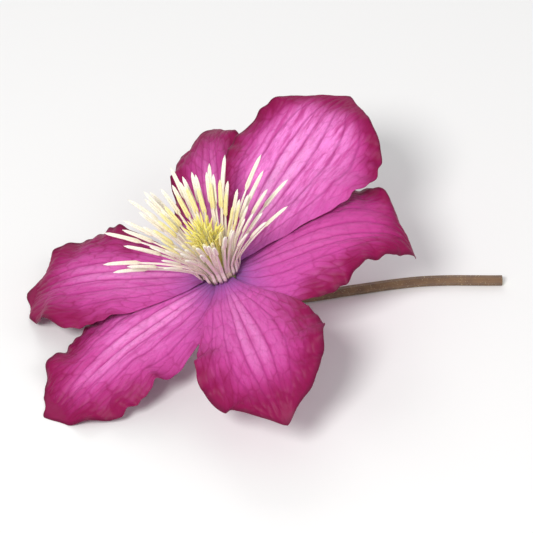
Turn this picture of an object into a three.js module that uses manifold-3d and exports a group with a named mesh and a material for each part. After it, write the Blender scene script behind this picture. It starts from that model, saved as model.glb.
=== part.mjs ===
// One large-flowered clematis, picked with its stalk and laid face up on a table.
//
// Six sepals stand round the swollen top of the stalk in two whorls: three lower ones and three
// upper ones over their margins. Inside them a ring of spreading stamens grows round a tuft of
// styles. Two sepals on the left droop onto the table and the stalk bends over to the
// right until it lies on the table too, so the flower rests on those three places.
//
// Millimetres, +Z up, the table at z = 0. The flower faces up and is seen from -Y.
// Each sepal, stamen and style is worked out in the flower's own frame, with its origin at the
// middle of the ring of sepal bases and +Z along the flower's axis, and then set in the pose.

import * as THREE from 'three';
import { mergeVertices } from 'three/addons/utils/BufferGeometryUtils.js';
import Module from 'manifold-3d';

const wasm = await Module();
wasm.setup();

const { degToRad, lerp, smoothstep } = THREE.MathUtils;

// ---------------------------------------------------------------- driving dimensions

// The pose of the flower on the table. X and Y put the middle of the whole part's outline over
// the origin.
const FLOWER_X = -10.1;
const FLOWER_Y = -0.6;
const FLOWER_HEIGHT = 13.2;
const LEAN_LEFT = degToRad(16);
const LEAN_FRONT = degToRad(5);

// Sepals. All angles are in degrees.
// azimuth: where the sepal points, anticlockwise from the right round the flower's axis
// sweep: how far its tip turns aside from that, + to the left seen from the base
// halves: width of its right and left half; widest: share of the length where each is widest
// blunt: below 1 rounds the end, above 1 draws it out
// upper: whether it stands in the upper whorl; apart: how far its right and left margin are
// raised (upper) or lowered (lower) where they overlap a neighbour
// tipSlope: how far its outer end points up (+) or down (-) from the flower's plane
// curl: how much further its tip turns down; roll: lifts the left margin
// wave: how far the margins swing up and down; phases: shifts those waves on the right and the
// left margin, in turns. Two margins that meet share one phase, so that they nest.
const SEPALS = [
  {
    azimuth: 55, sweep: -4, length: 49.5, halves: [20.2, 16.5], widest: [0.6, 0.62], blunt: 0.78,
    upper: true, apart: [0.8, 0.8], tipSlope: 15, curl: 40, roll: 6, wave: 1.3, phases: [0, 0.1],
  },
  {
    azimuth: 93, sweep: -1, length: 46, halves: [9.5, 9.5], widest: [0.6, 0.6], blunt: 0.86,
    upper: false, apart: [0.8, 0.4], tipSlope: -13, curl: 20, roll: -3, wave: 1.2, phases: [0.1, 0.55],
  },
  {
    azimuth: 170, sweep: 1, length: 46, halves: [15, 15.6], widest: [0.66, 0.58], blunt: 0.66,
    upper: true, apart: [0.4, 0.75], tipSlope: -28, curl: 18, roll: 6, wave: 1.5, phases: [0.05, 0.3],
  },
  {
    azimuth: 222, sweep: -4, length: 51, halves: [14.5, 14], widest: [0.5, 0.58], blunt: 0.8,
    upper: false, apart: [0.7, 0.4], tipSlope: -24, curl: 15, roll: -1, wave: 1.6, phases: [0.3, 0.8],
  },
  {
    azimuth: 286, sweep: 0, length: 47, halves: [14.5, 15.5], widest: [0.6, 0.6], blunt: 0.84,
    upper: true, apart: [0.4, 0.4], tipSlope: -10, curl: 34, roll: 4, wave: 1.9, phases: [0.8, 0.45],
  },
  {
    azimuth: 5, sweep: -9, length: 43, halves: [12.5, 19.5], widest: [0.42, 0.67], blunt: 0.9,
    upper: false, apart: [0.4, 0.7], tipSlope: -16, curl: 66, roll: -6, wave: 1.5, phases: [0.45, 0],
  },
];
const SEPAL_THICKNESS = 0.7;
const SEPAL_START = 3.55; // radius of the sepal bases round the flower's axis
const CLAW_HALF_WIDTH = 2.1; // a sepal narrows to this where it grows from the stalk
const SHOULDER = 2.6; // lower sepals are this much wider near the base, under the upper ones
const BASE_SLOPE = 9; // degrees that every sepal rises near the centre
const BEND_FROM = 0.3; // share of the length where a sepal leaves the base slope
const CURL_FROM = 0.78; // share of the length where its tip starts to curl
const WHORL_OFFSET = 0.58; // the upper whorl stands this far over the flower's plane, the lower under it
const MARGIN_DROOP = 2.6; // how far the margins hang under the midrib
const HALF_ARCH = 0.8; // each half of the blade arches up by this between midrib and margin
const WAVES_PER_SEPAL = 2.6;

// Stamens, from the outermost, which spread widest, to the innermost, which stand up.
const STAMENS = 54;
const STAMEN_ROOT_RADIUS = [4, 2.95];
const STAMEN_LEAN = [68, 19]; // degrees from the flower's axis
const STAMEN_RISE = 0.62; // below 1, fewer of them spread wide and more stand close round the middle
const STAMEN_LENGTH = [22, 16.5];
const UPRIGHT_AT = degToRad(285); // towards here the stamens stand up most
const UPRIGHT_BY = 0.5; // and lean this share less
const FILAMENT_WIDTH = 0.85;
const FILAMENT_THICKNESS = 0.62;
const ANTHER_WIDTH = 1.25;
const ANTHER_THICKNESS = 0.85;
const ANTHER_START = 0.66; // share of a stamen's length

// Styles, which stand in a tuft inside the stamens.
const STYLES = 24;
const STYLE_ROOT_RADIUS = 1.65;
const STYLE_LEAN = 13; // degrees, for the outermost
const STYLE_LENGTH = [11.5, 15];
const STYLE_THICKNESS = [0.85, 0.6];

// The stalk and the swollen top that carries everything else.
const STALK_RADIUS = 1.15;
const STALK_NECK_RADIUS = 1.45; // where it swells towards the flower
const SEAT_RADIUS = 4.3; // the flange under the sepals
const SEAT_TOP = -1.25;
const BOSS_RADIUS = 3.2; // the sepals stand round this
const BOSS_TOP = 1.15;
const SPIGOT_RADIUS = 2; // the ring of stamens stands round this
const SPIGOT_TOP = 2.4;
const GAP = 0.3; // between pieces that touch in the real flower

const GOLDEN_ANGLE = degToRad(137.50776);

// ---------------------------------------------------------------- small helpers

// A fixed draw between -1 and 1 for repeat number i and purpose k.
function draw(i, k) {
  const x = Math.sin(i * 12.9898 + k * 78.233) * 43758.5453;
  return 2 * (x - Math.floor(x)) - 1;
}

// The direction that leans by lean from the flower's axis towards azimuth.
function leaning(azimuth, lean) {
  return new THREE.Vector3(
    Math.sin(lean) * Math.cos(azimuth),
    Math.sin(lean) * Math.sin(azimuth),
    Math.cos(lean),
  );
}

const flowerPose = new THREE.Matrix4()
  .makeRotationFromEuler(new THREE.Euler(LEAN_FRONT, -LEAN_LEFT, 0))
  .setPosition(FLOWER_X, FLOWER_Y, FLOWER_HEIGHT);

// A closed geometry from vertices and triangles of vertex numbers.
function closedGeometry(vertices, triangles) {
  const geometry = new THREE.BufferGeometry().setFromPoints(vertices);
  geometry.setIndex(triangles.flat());
  geometry.computeVertexNormals();
  return geometry;
}

// One solid, joined from closed geometries that run into each other.
function fused(geometries) {
  const solids = geometries.map((geometry) => {
    const bare = geometry.clone();
    bare.deleteAttribute('normal');
    bare.deleteAttribute('uv');
    const merged = mergeVertices(bare.toNonIndexed(), 1e-4);
    return new wasm.Manifold(new wasm.Mesh({
      numProp: 3,
      vertProperties: merged.attributes.position.array,
      triVerts: new Uint32Array(merged.index.array),
    }));
  });
  const whole = solids.reduce((sum, solid) => sum.add(solid));
  const { vertProperties, triVerts } = whole.getMesh();
  const geometry = new THREE.BufferGeometry();
  geometry.setAttribute('position', new THREE.BufferAttribute(new Float32Array(vertProperties), 3));
  geometry.setIndex(new THREE.BufferAttribute(new Uint32Array(triVerts), 1));
  return geometry;
}

// A closed rod through points. Each station has its half widths along its own two cross
// directions, and sides corners that lie on that ellipse.
function rod(points, crossA, crossB, halfA, halfB, sides) {
  const vertices = [];
  const turn = (2 * Math.PI) / sides;
  points.forEach((point, i) => {
    for (let k = 0; k < sides; k += 1) {
      vertices.push(point.clone()
        .addScaledVector(crossA[i], halfA[i] * Math.cos((k + 0.5) * turn))
        .addScaledVector(crossB[i], halfB[i] * Math.sin((k + 0.5) * turn)));
    }
  });
  const triangles = [];
  for (let i = 0; i + 1 < points.length; i += 1) {
    for (let k = 0; k < sides; k += 1) {
      const a = i * sides + k;
      const b = i * sides + ((k + 1) % sides);
      triangles.push([a, b, b + sides], [a, b + sides, a + sides]);
    }
  }
  const last = (points.length - 1) * sides;
  for (let k = 1; k + 1 < sides; k += 1) {
    triangles.push([0, k + 1, k], [last, last + k, last + k + 1]);
  }
  return closedGeometry(vertices, triangles);
}

// ---------------------------------------------------------------- sepals

// The width of a sepal's half on w's side, at share u of its length.
function halfWidth(sepal, u, w) {
  const half = w > 0 ? 1 : 0;
  const power = Math.log(0.5) / Math.log(sepal.widest[half]);
  const blade = Math.sin(Math.PI * u ** power) ** sepal.blunt;
  const claw = CLAW_HALF_WIDTH * (1 - u) ** 2;
  const nearBase = smoothstep(u, -0.06, 0.12) * (1 - smoothstep(u, 0.2, 0.6));
  return sepal.halves[half] * blade + claw + (sepal.upper ? 0 : SHOULDER * nearBase);
}

// The midrib's angle over the flower's plane at share u of the length, in radians.
function midribSlope(sepal, u) {
  const bend = smoothstep(u, BEND_FROM, 1);
  const curl = smoothstep(u, CURL_FROM, 1);
  return degToRad(lerp(BASE_SLOPE, sepal.tipSlope, bend) - sepal.curl * curl);
}

// The midrib's distance from the axis and height over the flower's plane at share u.
function midribPoint(sepal, u) {
  const STEPS = 60;
  let radius = SEPAL_START;
  let height = sepal.upper ? WHORL_OFFSET : -WHORL_OFFSET;
  for (let i = 0; i < STEPS; i += 1) {
    const slope = midribSlope(sepal, (u * (i + 0.5)) / STEPS);
    radius += (Math.cos(slope) * sepal.length * u) / STEPS;
    height += (Math.sin(slope) * sepal.length * u) / STEPS;
  }
  return [radius, height];
}

// How far the blade stands over its midrib at share u of the length and w of the half width,
// where w runs from -1 on the right margin to 1 on the left.
function relief(sepal, u, w) {
  const side = Math.abs(w);
  const free = smoothstep(u, ...(sepal.upper ? [0.4, 0.8] : [0.1, 0.5])); // from the others' margins
  const droop = -MARGIN_DROOP * free * w * w * Math.sin(Math.PI * Math.min(1, u * 1.1) ** 0.8);
  const arch = HALF_ARCH * 4 * side * (1 - side) * Math.sin(Math.PI * u);
  const overlap = smoothstep(side, 0.3, 0.9) * smoothstep(u, 0, 0.1) * (1 - smoothstep(u, 0.6, 0.85));
  const apart = (sepal.upper ? 1 : -1) * sepal.apart[w > 0 ? 1 : 0] * overlap;
  const turns = WAVES_PER_SEPAL * u + sepal.phases[w > 0 ? 1 : 0];
  const ripple = Math.sin(2 * Math.PI * turns) + 0.4 * Math.sin(2 * Math.PI * (2.3 * turns + 0.2));
  const wave = sepal.wave * side ** 2.2 * smoothstep(u, 0.3, 0.6) * (1 - 0.6 * smoothstep(u, 0.85, 1));
  return droop + arch + apart + wave * ripple;
}

// A point of the middle of the blade, in the flower's frame.
function sepalPoint(sepal, u, w) {
  const [radius, height] = midribPoint(sepal, u);
  const slope = midribSlope(sepal, u);
  const roll = degToRad(sepal.roll) * smoothstep(u, 0.2, 0.8);
  const across = w * halfWidth(sepal, u, w);
  const over = relief(sepal, u, w);
  const swept = sepal.length * Math.tan(degToRad(sepal.sweep)) * u ** 3;
  const sideways = across * Math.cos(roll) - over * Math.sin(roll) + swept;
  const normal = across * Math.sin(roll) + over * Math.cos(roll);
  return new THREE.Vector3(
    radius - normal * Math.sin(slope),
    sideways,
    height + normal * Math.cos(slope),
  ).applyAxisAngle(new THREE.Vector3(0, 0, 1), degToRad(sepal.azimuth));
}

// A thin closed blade round a grid of middle points. The last row is drawn in to one point.
// Where the middle would sink to the table, the blade lies flat on it.
function bladeGeometry(middle, thickness) {
  const rows = middle.length;
  const columns = middle[0].length;
  const half = thickness / 2;
  const grid = middle.map((row) => row.map((point) => {
    const posed = point.clone().applyMatrix4(flowerPose);
    posed.z = Math.max(posed.z, half);
    return posed;
  }));
  const normalAt = (i, j) => {
    const along = grid[Math.min(i + 1, rows - 1)][j].clone().sub(grid[Math.max(i - 1, 0)][j]);
    const across = grid[i][Math.min(j + 1, columns - 1)].clone().sub(grid[i][Math.max(j - 1, 0)]);
    return along.cross(across).normalize();
  };
  const face = (offset) => {
    const vertices = [];
    for (let i = 0; i + 1 < rows; i += 1) {
      for (let j = 0; j < columns; j += 1) {
        const onTable = grid[i][j].z <= half;
        const normal = onTable ? new THREE.Vector3(0, 0, 1) : normalAt(i, j);
        vertices.push(grid[i][j].clone().addScaledVector(normal, offset));
      }
    }
    const tip = grid[rows - 1][(columns - 1) / 2];
    vertices.push(tip.clone().add(new THREE.Vector3(0, 0, offset)));
    return vertices;
  };
  const vertices = [...face(half), ...face(-half)];
  const under = vertices.length / 2;
  const tip = (rows - 1) * columns;
  const upper = [];
  for (let i = 0; i + 2 < rows; i += 1) {
    for (let j = 0; j + 1 < columns; j += 1) {
      const a = i * columns + j;
      upper.push([a, a + columns, a + 1], [a + 1, a + columns, a + columns + 1]);
    }
  }
  for (let j = 0; j + 1 < columns; j += 1) {
    const a = (rows - 2) * columns + j;
    upper.push([a, tip, a + 1]);
  }
  const lower = upper.map(([a, b, c]) => [a + under, c + under, b + under]);
  const rim = [];
  for (let i = 0; i + 1 < rows; i += 1) rim.push(i * columns);
  rim.push(tip);
  for (let i = rows - 2; i >= 0; i -= 1) rim.push((i + 1) * columns - 1);
  for (let j = columns - 2; j > 0; j -= 1) rim.push(j);
  const wall = rim.flatMap((a, k) => {
    const b = rim[(k + 1) % rim.length];
    return [[a, a + under, b + under], [a, b + under, b]];
  });
  return closedGeometry(vertices, [...upper, ...lower, ...wall]);
}

const SEPAL_ROWS = 26;
const SEPAL_COLUMNS = 12;

function sepalGeometry(sepal) {
  const middle = [];
  for (let i = 0; i <= SEPAL_ROWS; i += 1) {
    const row = [];
    for (let j = 0; j <= SEPAL_COLUMNS; j += 1) {
      row.push(sepalPoint(sepal, i / SEPAL_ROWS, (2 * j) / SEPAL_COLUMNS - 1));
    }
    middle.push(row);
  }
  return bladeGeometry(middle, SEPAL_THICKNESS);
}

// ---------------------------------------------------------------- stamens

const COLLAR_BOTTOM = BOSS_TOP + GAP;
const COLLAR_TOP = 3.7;
const COLLAR_RADIUS = 4.6;
const COLLAR_BORE = SPIGOT_RADIUS + GAP;

// The low ring that the stamens grow from.
function collarGeometry() {
  const outline = [
    new THREE.Vector2(COLLAR_BORE, COLLAR_BOTTOM),
    new THREE.Vector2(COLLAR_RADIUS - 0.5, COLLAR_BOTTOM),
    new THREE.Vector2(COLLAR_RADIUS, COLLAR_BOTTOM + 0.6),
    new THREE.Vector2(COLLAR_RADIUS - 0.5, COLLAR_TOP - 0.6),
    new THREE.Vector2(COLLAR_BORE + 0.9, COLLAR_TOP),
    new THREE.Vector2(COLLAR_BORE, COLLAR_TOP - 0.2),
    new THREE.Vector2(COLLAR_BORE, COLLAR_BOTTOM),
  ];
  return new THREE.LatheGeometry(outline, 24).rotateX(Math.PI / 2);
}

// Stamen i's line: it starts steeper than it ends, so it arches outwards.
function stamenCurve(i) {
  const share = (i + 0.5) / STAMENS;
  const azimuth = i * GOLDEN_ANGLE + 0.12 * draw(i, 1);
  const rootRadius = lerp(...STAMEN_ROOT_RADIUS, share);
  const upright = 1 - UPRIGHT_BY * Math.max(0, Math.cos(azimuth - UPRIGHT_AT)) * (1 - share);
  const lean = degToRad(lerp(...STAMEN_LEAN, share ** STAMEN_RISE) + 7 * draw(i, 2) * (1 - share)) * upright;
  const length = lerp(...STAMEN_LENGTH, share) + 1.4 * draw(i, 3);
  const root = new THREE.Vector3(
    rootRadius * Math.cos(azimuth),
    rootRadius * Math.sin(azimuth),
    COLLAR_TOP - 1.3,
  );
  const knee = root.clone().addScaledVector(leaning(azimuth, lean * 0.72), length * 0.45);
  const tip = knee.clone().addScaledVector(leaning(azimuth, lean * 1.15), length * 0.6);
  return { curve: new THREE.QuadraticBezierCurve3(root, knee, tip), azimuth };
}

function stamenGeometry(i) {
  const { curve, azimuth } = stamenCurve(i);
  const shares = [0, 0.22, 0.45, ANTHER_START, ANTHER_START + 0.06, 0.9, 1];
  const widths = [1, 1, 0.95, 0.8, 0, 0, 0].map((x) => x * FILAMENT_WIDTH);
  const thicknesses = [1, 1, 1, 1, 0, 0, 0].map((x) => x * FILAMENT_THICKNESS);
  [1, 0.95, 0.45].forEach((x, k) => {
    widths[k + 4] = x * ANTHER_WIDTH;
    thicknesses[k + 4] = Math.max(FILAMENT_THICKNESS, x * ANTHER_THICKNESS);
  });
  const sideways = new THREE.Vector3(-Math.sin(azimuth), Math.cos(azimuth), 0);
  const tangents = shares.map((t) => curve.getTangent(t));
  return rod(
    shares.map((t) => curve.getPoint(t)),
    shares.map(() => sideways),
    tangents.map((tangent) => tangent.clone().cross(sideways)),
    widths.map((x) => x * Math.SQRT1_2),
    thicknesses.map((x) => x * Math.SQRT1_2),
    4,
  );
}

// ---------------------------------------------------------------- styles

const TUFT_BOTTOM = SPIGOT_TOP + GAP;

// The low dome that the styles grow from.
function tuftCoreGeometry() {
  const outline = [
    new THREE.Vector2(0, TUFT_BOTTOM),
    new THREE.Vector2(SPIGOT_RADIUS, TUFT_BOTTOM),
    new THREE.Vector2(SPIGOT_RADIUS, TUFT_BOTTOM + 1),
    new THREE.Vector2(SPIGOT_RADIUS * 0.6, TUFT_BOTTOM + 2),
    new THREE.Vector2(0, TUFT_BOTTOM + 2.3),
  ];
  return new THREE.LatheGeometry(outline, 12).rotateX(Math.PI / 2);
}

function styleGeometry(i) {
  const share = Math.sqrt((i + 0.5) / STYLES);
  const azimuth = i * GOLDEN_ANGLE;
  const lean = degToRad(STYLE_LEAN * share);
  const length = lerp(...STYLE_LENGTH, 0.5 + 0.5 * draw(i, 4)) * (1 - 0.15 * share);
  const root = new THREE.Vector3(
    STYLE_ROOT_RADIUS * share * Math.cos(azimuth),
    STYLE_ROOT_RADIUS * share * Math.sin(azimuth),
    TUFT_BOTTOM + 1,
  );
  const direction = leaning(azimuth, lean);
  const sideways = new THREE.Vector3(-Math.sin(azimuth), Math.cos(azimuth), 0);
  const shares = [0, 0.5, 1];
  const halves = shares.map((t) => (lerp(...STYLE_THICKNESS, t) / 2) * Math.SQRT2);
  return rod(
    shares.map((t) => root.clone().addScaledVector(direction, t * length)),
    shares.map(() => sideways),
    shares.map(() => direction.clone().cross(sideways)),
    halves,
    halves,
    4,
  );
}

// ---------------------------------------------------------------- stalk

// The swollen top of the stalk, in the flower's frame.
function receptacleGeometry() {
  const outline = [
    new THREE.Vector2(0, -6),
    new THREE.Vector2(STALK_NECK_RADIUS, -6),
    new THREE.Vector2(2.1, -3.6),
    new THREE.Vector2(SEAT_RADIUS - 0.6, -2),
    new THREE.Vector2(SEAT_RADIUS, SEAT_TOP - 0.35),
    new THREE.Vector2(SEAT_RADIUS - 0.3, SEAT_TOP),
    new THREE.Vector2(BOSS_RADIUS, SEAT_TOP),
    new THREE.Vector2(BOSS_RADIUS, BOSS_TOP),
    new THREE.Vector2(SPIGOT_RADIUS, BOSS_TOP),
    new THREE.Vector2(SPIGOT_RADIUS, SPIGOT_TOP),
    new THREE.Vector2(0, SPIGOT_TOP),
  ];
  return new THREE.LatheGeometry(outline, 24).rotateX(Math.PI / 2);
}

// The stalk's line, from inside the receptacle down to the table and along it.
// The first two points are in the flower's frame, and the rest lie right of and behind the
// flower's middle on the table.
const LYING_HEIGHT = STALK_RADIUS - 0.12; // a little under its radius, so it beds on a flat strip
const stalkCurve = new THREE.CatmullRomCurve3([
  new THREE.Vector3(0, 0, -4.5).applyMatrix4(flowerPose),
  new THREE.Vector3(0, 0, -7.5).applyMatrix4(flowerPose),
  new THREE.Vector3(FLOWER_X + 6, FLOWER_Y + 1.8, 4.3),
  new THREE.Vector3(FLOWER_X + 13, FLOWER_Y + 3.8, 2),
  new THREE.Vector3(FLOWER_X + 21, FLOWER_Y + 6, LYING_HEIGHT + 0.1),
  new THREE.Vector3(FLOWER_X + 30, FLOWER_Y + 8.2, LYING_HEIGHT),
  new THREE.Vector3(FLOWER_X + 46, FLOWER_Y + 11.2, LYING_HEIGHT),
  new THREE.Vector3(FLOWER_X + 64, FLOWER_Y + 11.5, LYING_HEIGHT),
]);

function stalkGeometry() {
  const STEPS = 36;
  const SIDES = 12;
  const shares = Array.from({ length: STEPS + 1 }, (_, i) => i / STEPS);
  const { normals, binormals } = stalkCurve.computeFrenetFrames(STEPS);
  const radii = shares.map((t) => lerp(STALK_NECK_RADIUS, STALK_RADIUS, smoothstep(t, 0, 0.25)));
  const tube = rod(shares.map((t) => stalkCurve.getPointAt(t)), normals, binormals, radii, radii, SIDES);
  const position = tube.getAttribute('position');
  for (let i = 0; i < position.count; i += 1) position.setZ(i, Math.max(0, position.getZ(i)));
  return tube;
}

// ---------------------------------------------------------------- the flower

const sepalMaterial = new THREE.MeshStandardMaterial({ color: 0xcc4fa0, roughness: 0.6, metalness: 0 });
const stamenMaterial = new THREE.MeshStandardMaterial({ color: 0xf0e6c8, roughness: 0.7, metalness: 0 });
const styleMaterial = new THREE.MeshStandardMaterial({ color: 0xe3d873, roughness: 0.7, metalness: 0 });
const stalkMaterial = new THREE.MeshStandardMaterial({ color: 0x8a7a52, roughness: 0.6, metalness: 0 });

const flower = new THREE.Group();

function add(name, geometry, material) {
  const mesh = new THREE.Mesh(geometry, material);
  mesh.name = name;
  flower.add(mesh);
}

const numbers = (count) => Array.from({ length: count }, (_, i) => i);

add('stalk', fused([receptacleGeometry().applyMatrix4(flowerPose), stalkGeometry()]), stalkMaterial);
SEPALS.forEach((sepal, k) => add(`sepal_${k + 1}`, sepalGeometry(sepal), sepalMaterial));
add('stamens', fused([collarGeometry(), ...numbers(STAMENS).map(stamenGeometry)])
  .applyMatrix4(flowerPose), stamenMaterial);
add('styles', fused([tuftCoreGeometry(), ...numbers(STYLES).map(styleGeometry)])
  .applyMatrix4(flowerPose), styleMaterial);

export default flower;
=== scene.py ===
"""A large-flowered clematis, picked with its stalk and laid face up on a pale table.

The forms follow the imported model: the same sepal, stamen, style and stalk rules, with finer
steps, true thickness, nerves, crimped margins, pollen sacs and silky hairs added. Lengths in the
rules are millimetres in the flower's own frame and become metres when a mesh is made.
"""

import math

import bpy
import numpy as np
from mathutils import Euler, Matrix, Vector


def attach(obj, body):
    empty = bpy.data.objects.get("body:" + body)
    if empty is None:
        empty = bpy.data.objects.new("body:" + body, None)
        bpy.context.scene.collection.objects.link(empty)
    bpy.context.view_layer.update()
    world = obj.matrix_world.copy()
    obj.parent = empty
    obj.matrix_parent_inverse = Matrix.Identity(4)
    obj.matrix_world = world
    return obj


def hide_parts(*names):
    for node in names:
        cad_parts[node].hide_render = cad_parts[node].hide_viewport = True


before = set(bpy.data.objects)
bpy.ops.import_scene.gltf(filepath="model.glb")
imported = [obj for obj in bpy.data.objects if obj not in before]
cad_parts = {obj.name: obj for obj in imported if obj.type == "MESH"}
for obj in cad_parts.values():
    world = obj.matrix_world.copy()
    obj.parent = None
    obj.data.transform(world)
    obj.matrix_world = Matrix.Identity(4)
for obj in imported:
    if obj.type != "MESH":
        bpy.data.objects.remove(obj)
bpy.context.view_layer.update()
MM = 0.001

# ---------------------------------------------------------------- the part's own dimensions

FLOWER = np.array([-10.1, -0.6, 13.2])  # the middle of the flower in the part's frame
LEAN_LEFT = math.radians(16)
LEAN_FRONT = math.radians(5)

# The six sepals, anticlockwise from the back right. Angles are in degrees, and pairs hold the
# right half first.
# azimuth, sweep: where the sepal points, and how far its tip turns to the left of that
# halves, widest, blunt: width of each half, share of the length where it is widest, and how
# round the end is
# upper, apart: its whorl, and how far its margins keep over or under those of its neighbours
# tip, curl, roll: slope of the outer end, how much further the tip turns down, and how much the
# left margin is lifted
# wave, phases: how far the margins swing up and down, and where each one starts, in turns
SEPALS = [
    dict(azimuth=55, sweep=-4, length=49.5, halves=(20.2, 16.5), widest=(0.6, 0.62), blunt=0.78,
         upper=True, apart=(0.8, 0.8), tip=15, curl=40, roll=6, wave=1.3, phases=(0, 0.1)),
    dict(azimuth=93, sweep=-1, length=46, halves=(9.5, 9.5), widest=(0.6, 0.6), blunt=0.86,
         upper=False, apart=(0.8, 0.4), tip=-13, curl=20, roll=-3, wave=1.2, phases=(0.1, 0.55)),
    dict(azimuth=170, sweep=1, length=46, halves=(15, 15.6), widest=(0.66, 0.58), blunt=0.66,
         upper=True, apart=(0.4, 0.75), tip=-28, curl=18, roll=6, wave=1.5, phases=(0.05, 0.3)),
    dict(azimuth=222, sweep=-4, length=51, halves=(14.5, 14), widest=(0.5, 0.58), blunt=0.8,
         upper=False, apart=(0.7, 0.4), tip=-24, curl=15, roll=-1, wave=1.6, phases=(0.3, 0.8)),
    dict(azimuth=286, sweep=0, length=47, halves=(14.5, 15.5), widest=(0.6, 0.6), blunt=0.84,
         upper=True, apart=(0.4, 0.4), tip=-10, curl=34, roll=4, wave=1.9, phases=(0.8, 0.45)),
    dict(azimuth=5, sweep=-9, length=43, halves=(12.5, 19.5), widest=(0.42, 0.67), blunt=0.9,
         upper=False, apart=(0.4, 0.7), tip=-16, curl=66, roll=-6, wave=1.5, phases=(0.45, 0)),
]
SEPAL_START = 3.55  # radius of the sepal bases round the flower's axis
CLAW_HALF_WIDTH = 2.1
SHOULDER = 2.6  # lower sepals are this much wider near the base, under the upper ones
BASE_SLOPE = 9
BEND_FROM = 0.3  # share of the length where a sepal leaves the base slope
CURL_FROM = 0.78  # and where its tip starts to curl
WHORL_OFFSET = 0.58  # how far the upper whorl stands over the flower's plane, the lower under it
MARGIN_DROOP = 2.6
HALF_ARCH = 0.8
WAVES_PER_SEPAL = 2.6

# Root radius, lean and length are those of the outermost stamen and of the innermost one.
STAMENS = 54
STAMEN_ROOT_RADIUS = (4, 2.95)
STAMEN_ROOT_DEPTH = 1.3  # under the top of the ring
STAMEN_LEAN = (68, 19)
STAMEN_RISE = 0.62
STAMEN_LENGTH = (22, 16.5)
STAMEN_KNEE = (0.72, 0.45)  # shares of the lean and of the length up to the filament's knee
STAMEN_TIP = (1.15, 0.6)  # and from there to the tip
STAMEN_DRAWS = (0.12, 7, 1.4)  # draws change azimuth, lean and length by up to this
UPRIGHT_AT = math.radians(285)  # towards here the stamens stand up most
UPRIGHT_BY = 0.5  # and lean this share less
ANTHER_START = 0.66
COLLAR_BOTTOM = 1.45
COLLAR_TOP = 3.7
COLLAR_RADIUS = 4.6
COLLAR_BORE = 2.3
FLANK_DROP = 0.85  # how much lower the outermost stamens start, on the flank of the ring

STYLES = 24
STYLE_ROOT_RADIUS = 1.65
STYLE_LEAN = 13
STYLE_LENGTH = (11.5, 15)
TUFT_BOTTOM = 2.7
TUFT_RADIUS = 2.0

STALK_RADIUS = 1.15
STALK_NECK_RADIUS = 1.45
STALK_LYING = STALK_RADIUS - 0.12  # height of its axis, so that it beds on a narrow flat strip
SEAT_TOP = -1.25
BOSS_RADIUS = 3.2
BOSS_TOP = 1.15
SPIGOT_RADIUS = 2.0
SPIGOT_TOP = 2.4

GOLDEN_ANGLE = math.radians(137.50776)

POSE = Matrix.Translation(FLOWER) @ Euler((LEAN_FRONT, -LEAN_LEFT, 0)).to_matrix().to_4x4()
TURN = np.array(POSE.to_3x3())


# ---------------------------------------------------------------- small helpers

UP = np.array([0.0, 0.0, 1.0])
HASH_SPREAD = 43758.5453


def posed(points):
    """Points of the flower's frame, set in the part's frame. Millimetres."""
    return points @ TURN.T + FLOWER


def draw(i, k):
    """The part's fixed draw between -1 and 1 for repeat number i and purpose k."""
    x = math.sin(i * 12.9898 + k * 78.233) * HASH_SPREAD
    return 2 * (x - math.floor(x)) - 1


def lerp(a, b, t):
    return a + (b - a) * t


def ease(x, low, high):
    """0 below low, 1 above high and smooth between."""
    t = np.clip((x - low) / (high - low), 0, 1)
    return t * t * (3 - 2 * t)


def band(x, rise, fall, left=0.0):
    """Eased up from 0 to 1 over the stretch rise, and down to left over the stretch fall."""
    return ease(x, *rise) * (1 - (1 - left) * ease(x, *fall))


def compass(azimuth):
    """The level directions outward at an azimuth and to the left of that."""
    outward = np.array([math.cos(azimuth), math.sin(azimuth), 0.0])
    return outward, np.array([-outward[1], outward[0], 0.0])


def leaning(outward, lean):
    """The direction that leans from the flower's axis outward."""
    return math.sin(lean) * outward + math.cos(lean) * UP


def unit(v):
    """The same directions with a length of 1."""
    return v / np.maximum(np.linalg.norm(v, axis=-1, keepdims=True), 1e-12)


def srgb(r, g, b):
    """A colour given as 0 to 255 on a screen, for a shader."""
    def linear(c):
        c /= 255
        return c / 12.92 if c <= 0.04045 else ((c + 0.055) / 1.055) ** 2.4

    return (linear(r), linear(g), linear(b), 1)


def hashed(x, y, seed):
    """A fixed draw from 0 to 1 for each whole-numbered cell."""
    value = np.sin(x * 127.1 + y * 311.7 + seed * 74.7) * HASH_SPREAD
    return value - np.floor(value)


def mottle(x, y, seed):
    """Smooth noise from -1 to 1, with one bump to a unit."""
    column, row = np.floor(x), np.floor(y)
    a, b = ease(x - column, 0, 1), ease(y - row, 0, 1)
    low = lerp(hashed(column, row, seed), hashed(column + 1, row, seed), a)
    high = lerp(hashed(column, row + 1, seed), hashed(column + 1, row + 1, seed), a)
    return 2 * lerp(low, high, b) - 1


CELL_JITTER = 0.8


def net(x, y, seed):
    """Distance to the lines of a net of cells, about one to a unit: 0 on a line."""
    column, row = np.floor(x), np.floor(y)
    nearest = np.full(x.shape, 9.0)
    second = np.full(x.shape, 9.0)
    for i in range(-2, 3):
        for j in range(-2, 3):
            jitter_x = CELL_JITTER * (hashed(column + i, row + j, seed) - 0.5)
            jitter_y = CELL_JITTER * (hashed(column + i, row + j, seed + 5) - 0.5)
            distance = np.hypot(column + i + 0.5 + jitter_x - x, row + j + 0.5 + jitter_y - y)
            second = np.minimum(second, np.maximum(nearest, distance))
            nearest = np.minimum(nearest, distance)
    return second - nearest


# ---------------------------------------------------------------- meshes


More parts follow.
